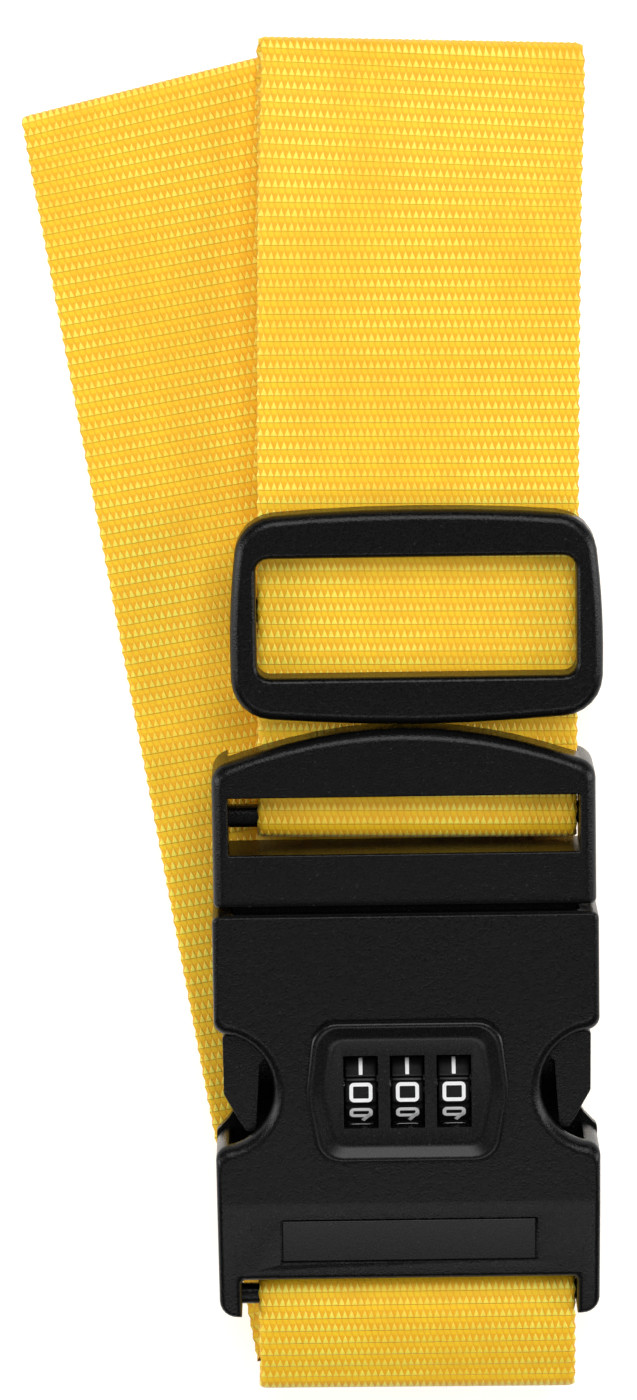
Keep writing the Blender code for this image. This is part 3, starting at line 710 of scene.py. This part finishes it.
WEB_WIDTH = 50.0
WEB_THICK = 1.2
LAYER = 1.5  # from one layer of the pile to the next
STRAP_X = 1.6
STRAP_LEAN = -0.77  # degrees
FRONT_Z = 16.6
FAN_ANGLE = 9.55  # degrees, of the two fanned layers
FAN_FOLD_ANGLE = 13.4  # degrees, of the fold between them
FAN_FOOT = (0.85, -47.95)
ROW = 2.1  # length of one row of the weave
TOOTH = 1.05  # from one tooth of a row to the next


def straight_x(y):
    return STRAP_X - y * math.tan(math.radians(STRAP_LEAN))


def fan_x(y):
    return FAN_FOOT[0] - (y - FAN_FOOT[1]) * math.tan(math.radians(FAN_ANGLE))


STRAIGHT = (straight_x, STRAP_LEAN)
LOCK_END = (lambda y: 1.2, 0.0)  # where the webbing goes round the lock's bar
FANNED = (fan_x, FAN_ANGLE)


def at(y, z, layer=STRAIGHT, lean=0.0, dx=0.0):
    middle, angle = layer
    return (middle(y) + dx, y, z, angle + lean)


def fold(edge_y, z_from, z_to, radius, layer_from=STRAIGHT, layer_to=STRAIGHT, skew=0.0, steps=6):
    side = 1 if edge_y > 50 else -1
    up = 1 if z_to > z_from else -1
    radius = min(radius, abs(z_to - z_from) / 2)
    arcs = []
    for k in range(steps + 1):
        angle = math.pi / 2 * k / steps
        arcs.append((math.sin(angle), z_from + up * radius * (1 - math.cos(angle))))
    for k in range(steps + 1):
        angle = math.pi / 2 * k / steps
        arcs.append((math.cos(angle), z_to - up * radius * (1 - math.sin(angle))))
    if abs(abs(z_to - z_from) - 2 * radius) < 0.01:
        arcs.pop(steps)
    sections = []
    for k, (reach, z) in enumerate(arcs):
        share = k / (len(arcs) - 1)
        y = edge_y - side * radius * (1 - reach)
        x = layer_from[0](y) * (1 - share) + layer_to[0](y) * share
        angle = layer_from[1] * (1 - share) + layer_to[1] * share + skew
        sections.append((x, y, z, angle))
    return sections


def wrap(centre_y, centre_z, radius, side, z_first, layer=STRAIGHT, steps=10):
    up = 1 if z_first < centre_z else -1
    turns = [math.pi * k / steps for k in range(steps + 1)]
    return [
        at(centre_y + side * radius * math.sin(a), centre_z - up * radius * math.cos(a), layer) for a in turns
    ]


def level(number):
    return WEB_THICK / 2 + (number - 1) * LAYER


def follow(sections):
    """The (x, y, z, angle) rows of a path with its corners eased, and how far along it each one lies."""
    path = np.array(sections, float)
    for _ in range(2):
        cut_in = [path[0]]
        for a, b in zip(path, path[1:]):
            cut_in += [a * 0.75 + b * 0.25, a * 0.25 + b * 0.75]
        path = np.array(cut_in + [path[-1]])
    steps = np.linalg.norm(np.diff(path[:, :3], axis=0), axis=1)
    reach = np.concatenate([[0], np.cumsum(steps)])
    return path, reach


def strip(name, sections, side=1, rising=1, fine=True, start=0):
    """A length of webbing. side is the face that shows and has the teeth; rising is the way they point."""
    path, reach = follow(sections)
    length = reach[-1]
    rows = max(1, round(length / ROW))
    phases = (0.0, 0.13, 0.45, 0.74) if fine else (0.0, 0.5)
    stations = [(r + p) / rows * length for r in range(rows) for p in phases] + [length]
    if rising < 0:
        stations = sorted(length - s for s in stations)
    stations = np.array(stations)
    places = np.stack([np.interp(stations, reach, path[:, k]) for k in range(4)], axis=1)
    angle = np.radians(places[:, 3])
    across = np.stack([np.cos(angle), np.sin(angle), np.zeros_like(angle)], axis=1)
    ahead = np.gradient(places[:, :3], stations, axis=0)
    ahead /= np.linalg.norm(ahead, axis=1)[:, None]
    normal = np.cross(across, ahead) * side
    normal /= np.linalg.norm(normal, axis=1)[:, None]
    teeth = round(WEB_WIDTH / TOOTH)
    columns = np.linspace(-1, 1, 2 * teeth + 1) if fine else np.linspace(-1, 1, 9)
    climb = (stations if rising > 0 else length - stations) * rows / length
    row_number = np.floor(climb + 1e-6).astype(int)
    phase = climb - row_number
    half = WEB_WIDTH / 2
    verts, uvs = [], []
    coarse = np.linspace(-1, 1, 5)
    for i in range(len(stations)):
        edge_wave = 0.13 * math.cos(2 * math.pi * phase[i])
        for j, c in enumerate(columns):
            inset = min(1.0, (1 - abs(c)) * half / 0.9)
            lift = 0.0
            if fine:
                on_tooth = (j + row_number[i] + start) % 2 == 1
                if phase[i] < 0.05:
                    lift = -0.05
                elif phase[i] < 0.2:
                    lift = 0.15 if on_tooth else 0.02
                elif phase[i] < 0.6:
                    lift = 0.07 if on_tooth else -0.06
                lift *= inset
            reach_out = (half + edge_wave * (1 - inset)) if abs(c) > 0.999 else half
            height = WEB_THICK / 2 * (0.55 + 0.45 * math.sqrt(inset)) + lift - 0.02
            verts.append(places[i, :3] + across[i] * c * reach_out + normal[i] * height)
            uvs.append(((c + 1) / 2 * teeth, climb[i] + start))
        for c in coarse:
            inset = 0.0 if abs(c) > 0.999 else 1.0
            reach_out = half + edge_wave if inset == 0.0 else half
            height = WEB_THICK / 2 * (0.55 + 0.45 * inset) - 0.02
            verts.append(places[i, :3] + across[i] * c * reach_out - normal[i] * height)
            uvs.append(((c + 1) / 2 * teeth, climb[i] + start))
    n_top, n_low = len(columns), len(coarse)
    stride = n_top + n_low
    faces = []
    for i in range(len(stations) - 1):
        a, b = i * stride, (i + 1) * stride
        for j in range(n_top - 1):
            faces.append((a + j, a + j + 1, b + j + 1, b + j))
        for j in range(n_low - 1):
            p, q = a + n_top + j, b + n_top + j
            faces.append((p, q, q + 1, p + 1))
        faces.append((a, b, b + n_top, a + n_top))
        faces.append((a + n_top - 1, a + stride - 1, b + stride - 1, b + n_top - 1))
    last = (len(stations) - 1) * stride
    for base, flip in ((0, False), (last, True)):
        loop = list(range(base, base + n_top)) + list(range(base + stride - 1, base + n_top - 1, -1))
        faces.append(tuple(reversed(loop)) if not flip else tuple(loop))
    if side < 0:
        faces = [tuple(reversed(f)) for f in faces]
    mesh = bpy.data.meshes.new(name)
    mesh.from_pydata([tuple(v * MM) for v in verts], [], faces)
    mesh.update()
    layer = mesh.uv_layers.new(name="weave")
    index = np.zeros(len(mesh.loops), int)
    mesh.loops.foreach_get("vertex_index", index)
    layer.data.foreach_set("uv", np.array(uvs)[index].ravel())
    mesh.shade_smooth()
    piece = bpy.data.objects.new(name, mesh)
    bpy.context.scene.collection.objects.link(piece)
    dress(piece, FABRIC)
    return piece, length


def finish_strip(made):
    piece, length = made
    return piece


BAR_Y, BAR_Z = -34.2, 18.5  # the lock's strap bar
TOP_LEVEL = level(7)
TAIL_Z = TOP_LEVEL + LAYER
BOTTOM_FOLD_Y, INNER_FOLD_Y, TOP_FOLD_Y = -50.5, -45.5, 162.4
INNER_TOP_Y, FAN_TOP_Y = 159.6, 156.9

# sewn tail, round the lock's bar, and over the bottom fold
sections = [at(-22.0, TAIL_Z, LOCK_END), at(-40.0, TAIL_Z, LOCK_END)]
sections += fold(-46.6, TAIL_Z, 14.4, 1.5, LOCK_END, LOCK_END)
sections += [at(-38.0, BAR_Z - 2.4, LOCK_END)]
sections += wrap(BAR_Y, BAR_Z, 2.4, 1, BAR_Z - 2.4, LOCK_END)
sections += [at(-38.5, BAR_Z + 2.4, LOCK_END), at(-44.0, BAR_Z + 1.2, LOCK_END)]
sections += fold(BOTTOM_FOLD_Y, BAR_Z - 0.4, level(1), 2.4, LOCK_END, STRAIGHT)
sections += [at(-30.0, level(1))]
lower = strip("webbing_round_lock", sections, side=-1, rising=-1)
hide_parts("webbing_folded")
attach(finish_strip(lower), "lock")

# the zigzag inside
sections = [at(-30.0, level(1)), at(0.0, level(1)), at(100.0, level(1))]
sections += fold(INNER_TOP_Y, level(1), level(2), 5)
sections += [at(100.0, level(2)), at(0.0, level(2))]
sections += fold(INNER_FOLD_Y, level(2), level(3), 5)
sections += [at(0.0, level(3)), at(100.0, level(3))]
sections += fold(INNER_TOP_Y, level(3), level(4), 5)
sections += [at(100.0, level(4)), at(0.0, level(4))]
sections += fold(INNER_FOLD_Y, level(4), level(5), 5, STRAIGHT, FANNED)
sections += [at(0.0, level(5), FANNED), at(90.0, level(5), FANNED)]
inner = strip("webbing_inner", sections, side=1, rising=1, fine=False)
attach(finish_strip(inner), "lock")

# the two layers that fan out to the left, and the fold between them
sections = [at(90.0, level(5), FANNED), at(140.0, level(5), FANNED)]
sections += fold(FAN_TOP_Y, level(5), level(6), 5, FANNED, FANNED, FAN_FOLD_ANGLE - FAN_ANGLE)
sections += [at(y, level(6), FANNED) for y in (140.0, 90.0, 0.0, -20.0)]
fan = strip("webbing_fan", sections, side=-1, rising=-1, start=7)
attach(finish_strip(fan), "lock")

# the uppermost layer of the pile, which stretches between the lock's pile and the buckle's own length
sections = [at(-20.0, level(6), FANNED)] + fold(INNER_FOLD_Y, level(6), TOP_LEVEL, 5, FANNED, STRAIGHT)
sections += [at(0.0, TOP_LEVEL), at(120.0, TOP_LEVEL), at(157.0, TOP_LEVEL)]
back = strip("webbing_back", sections, side=1, rising=1, fine=False)
finish_strip(back)
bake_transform(back[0])

# over the top, through the slider and round the buckle frame's bar
LEAN = -2.5  # degrees that the front layer turns at the fold
SHIFT = 0.7  # millimetres that it moves to the right there
sections = [at(157.0, TOP_LEVEL)]
over = fold(TOP_FOLD_Y, TOP_LEVEL, 12.2, 1.3)
sections += [
    (x + SHIFT * k / len(over), y, z, angle + LEAN * k / len(over)) for k, (x, y, z, angle) in enumerate(over)
]
# on its way to the slider it straightens: (y, z, share of the lean, what is left of the shift)
straighten = [(158.0, 12.3, 1.0, SHIFT), (150.0, 13.7, 1.0, 0.5), (144.0, 14.7, 0.8, 0.3)]
straighten += [(137.0, 15.8, 0.3, 0.15), (130.0, 16.45, 0.0, 0.1)]
sections += [at(y, z, lean=LEAN * share, dx=dx) for y, z, share, dx in straighten]
sections += [at(y, FRONT_Z) for y in (120.0, 86.0, 70.0, 60.0)]
sections += wrap(41.1, 14.2, FRONT_Z - 14.2, -1, FRONT_Z)
sections += [at(44.7, 11.8)]
front = strip("webbing_over_front", sections, side=-1, rising=-1)
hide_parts("webbing_front")
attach(finish_strip(front), "buckle")

# back under the slider and round its centre bar
sections = [at(45.0, 11.8), at(58.0, 11.3), at(66.0, 11.1)]
sections += wrap(75.5, 13.1, 2.0, 1, 11.1)
sections += [at(72.0, 15.1), at(67.5, 12.9), at(59.0, 12.8)]
loop = strip("webbing_return_loop", sections, side=-1, rising=1, fine=False)
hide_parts("webbing_return")
finish_strip(loop)
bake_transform(loop[0])

# ---------------------------------------------------------------- stage, light and camera


def plane(name, size, location, surface):
    bm = bmesh.new()
    bmesh.ops.create_grid(bm, x_segments=1, y_segments=1, size=size / 2)
    made = object_from(bm, name)
    made.location = location
    dress(made, surface)


paper = bpy.data.materials.new("white_sweep")
paper.use_nodes = True
tree = paper.node_tree
shader = tree.nodes["Principled BSDF"]
shader.inputs["Base Color"].default_value = (0.6, 0.6, 0.6, 1)
shader.inputs["Roughness"].default_value = 0.9
shader.inputs["Specular IOR Level"].default_value = 0.0
shader.inputs["Emission Color"].default_value = (1, 1, 1, 1)
shader.inputs["Emission Strength"].default_value = 0.65
plane("floor", 8.0, (0, 0, -0.0004), paper)


def lamp(name, place, aim, size, power, colour=(1, 1, 1)):
    data = bpy.data.lights.new(name, "AREA")
    data.shape = "RECTANGLE"
    data.size, data.size_y = size
    data.energy = power
    data.color = colour
    made = bpy.data.objects.new(name, data)
    made.location = place
    made.rotation_euler = (Vector(aim) - Vector(place)).to_track_quat("-Z", "Y").to_euler()
    bpy.context.scene.collection.objects.link(made)


middle = Vector((-0.014, 0.06, 0.01))
lamp("key", (0.05, 0.66, 0.97), middle, (0.9, 0.6), 8.8)
lamp("low_front", (0.0, -0.5, 1.07), middle, (0.9, 0.22), 2.1)
lamp("left_softbox", (-0.8, 0.1, 0.35), middle, (0.25, 0.8), 4.2)
lamp("right_softbox", (0.8, 0.1, 0.35), middle, (0.25, 0.8), 4.2)

world = bpy.data.worlds.new("studio")
world.use_nodes = True
world.node_tree.nodes["Background"].inputs[0].default_value = (1, 1, 1, 1)
world.node_tree.nodes["Background"].inputs[1].default_value = 0.08
bpy.context.scene.world = world
bpy.context.scene.view_settings.view_transform = "Standard"

TILT = math.radians(10)
ROLL = math.radians(-0.8)
DISTANCE = 1000.0
FRAME_TALL = 216.718  # millimetres from the picture's top to its bottom, at the distance of the target
target = Vector((-13.058, 62.544, 28.0))
camera_data = bpy.data.cameras.new("camera")
camera_data.sensor_fit = "VERTICAL"
camera_data.sensor_height = 36.0
camera_data.lens = 36.0 * DISTANCE / FRAME_TALL
camera_data.clip_end = 20
camera = bpy.data.objects.new("camera", camera_data)
towards = Matrix.Rotation(ROLL, 3, "Z") @ Vector((0, math.sin(TILT), math.cos(TILT)))
camera.location = (target + towards * DISTANCE) * MM
camera.rotation_euler = (-TILT, 0, ROLL)
bpy.context.scene.collection.objects.link(camera)
bpy.context.scene.camera = camera
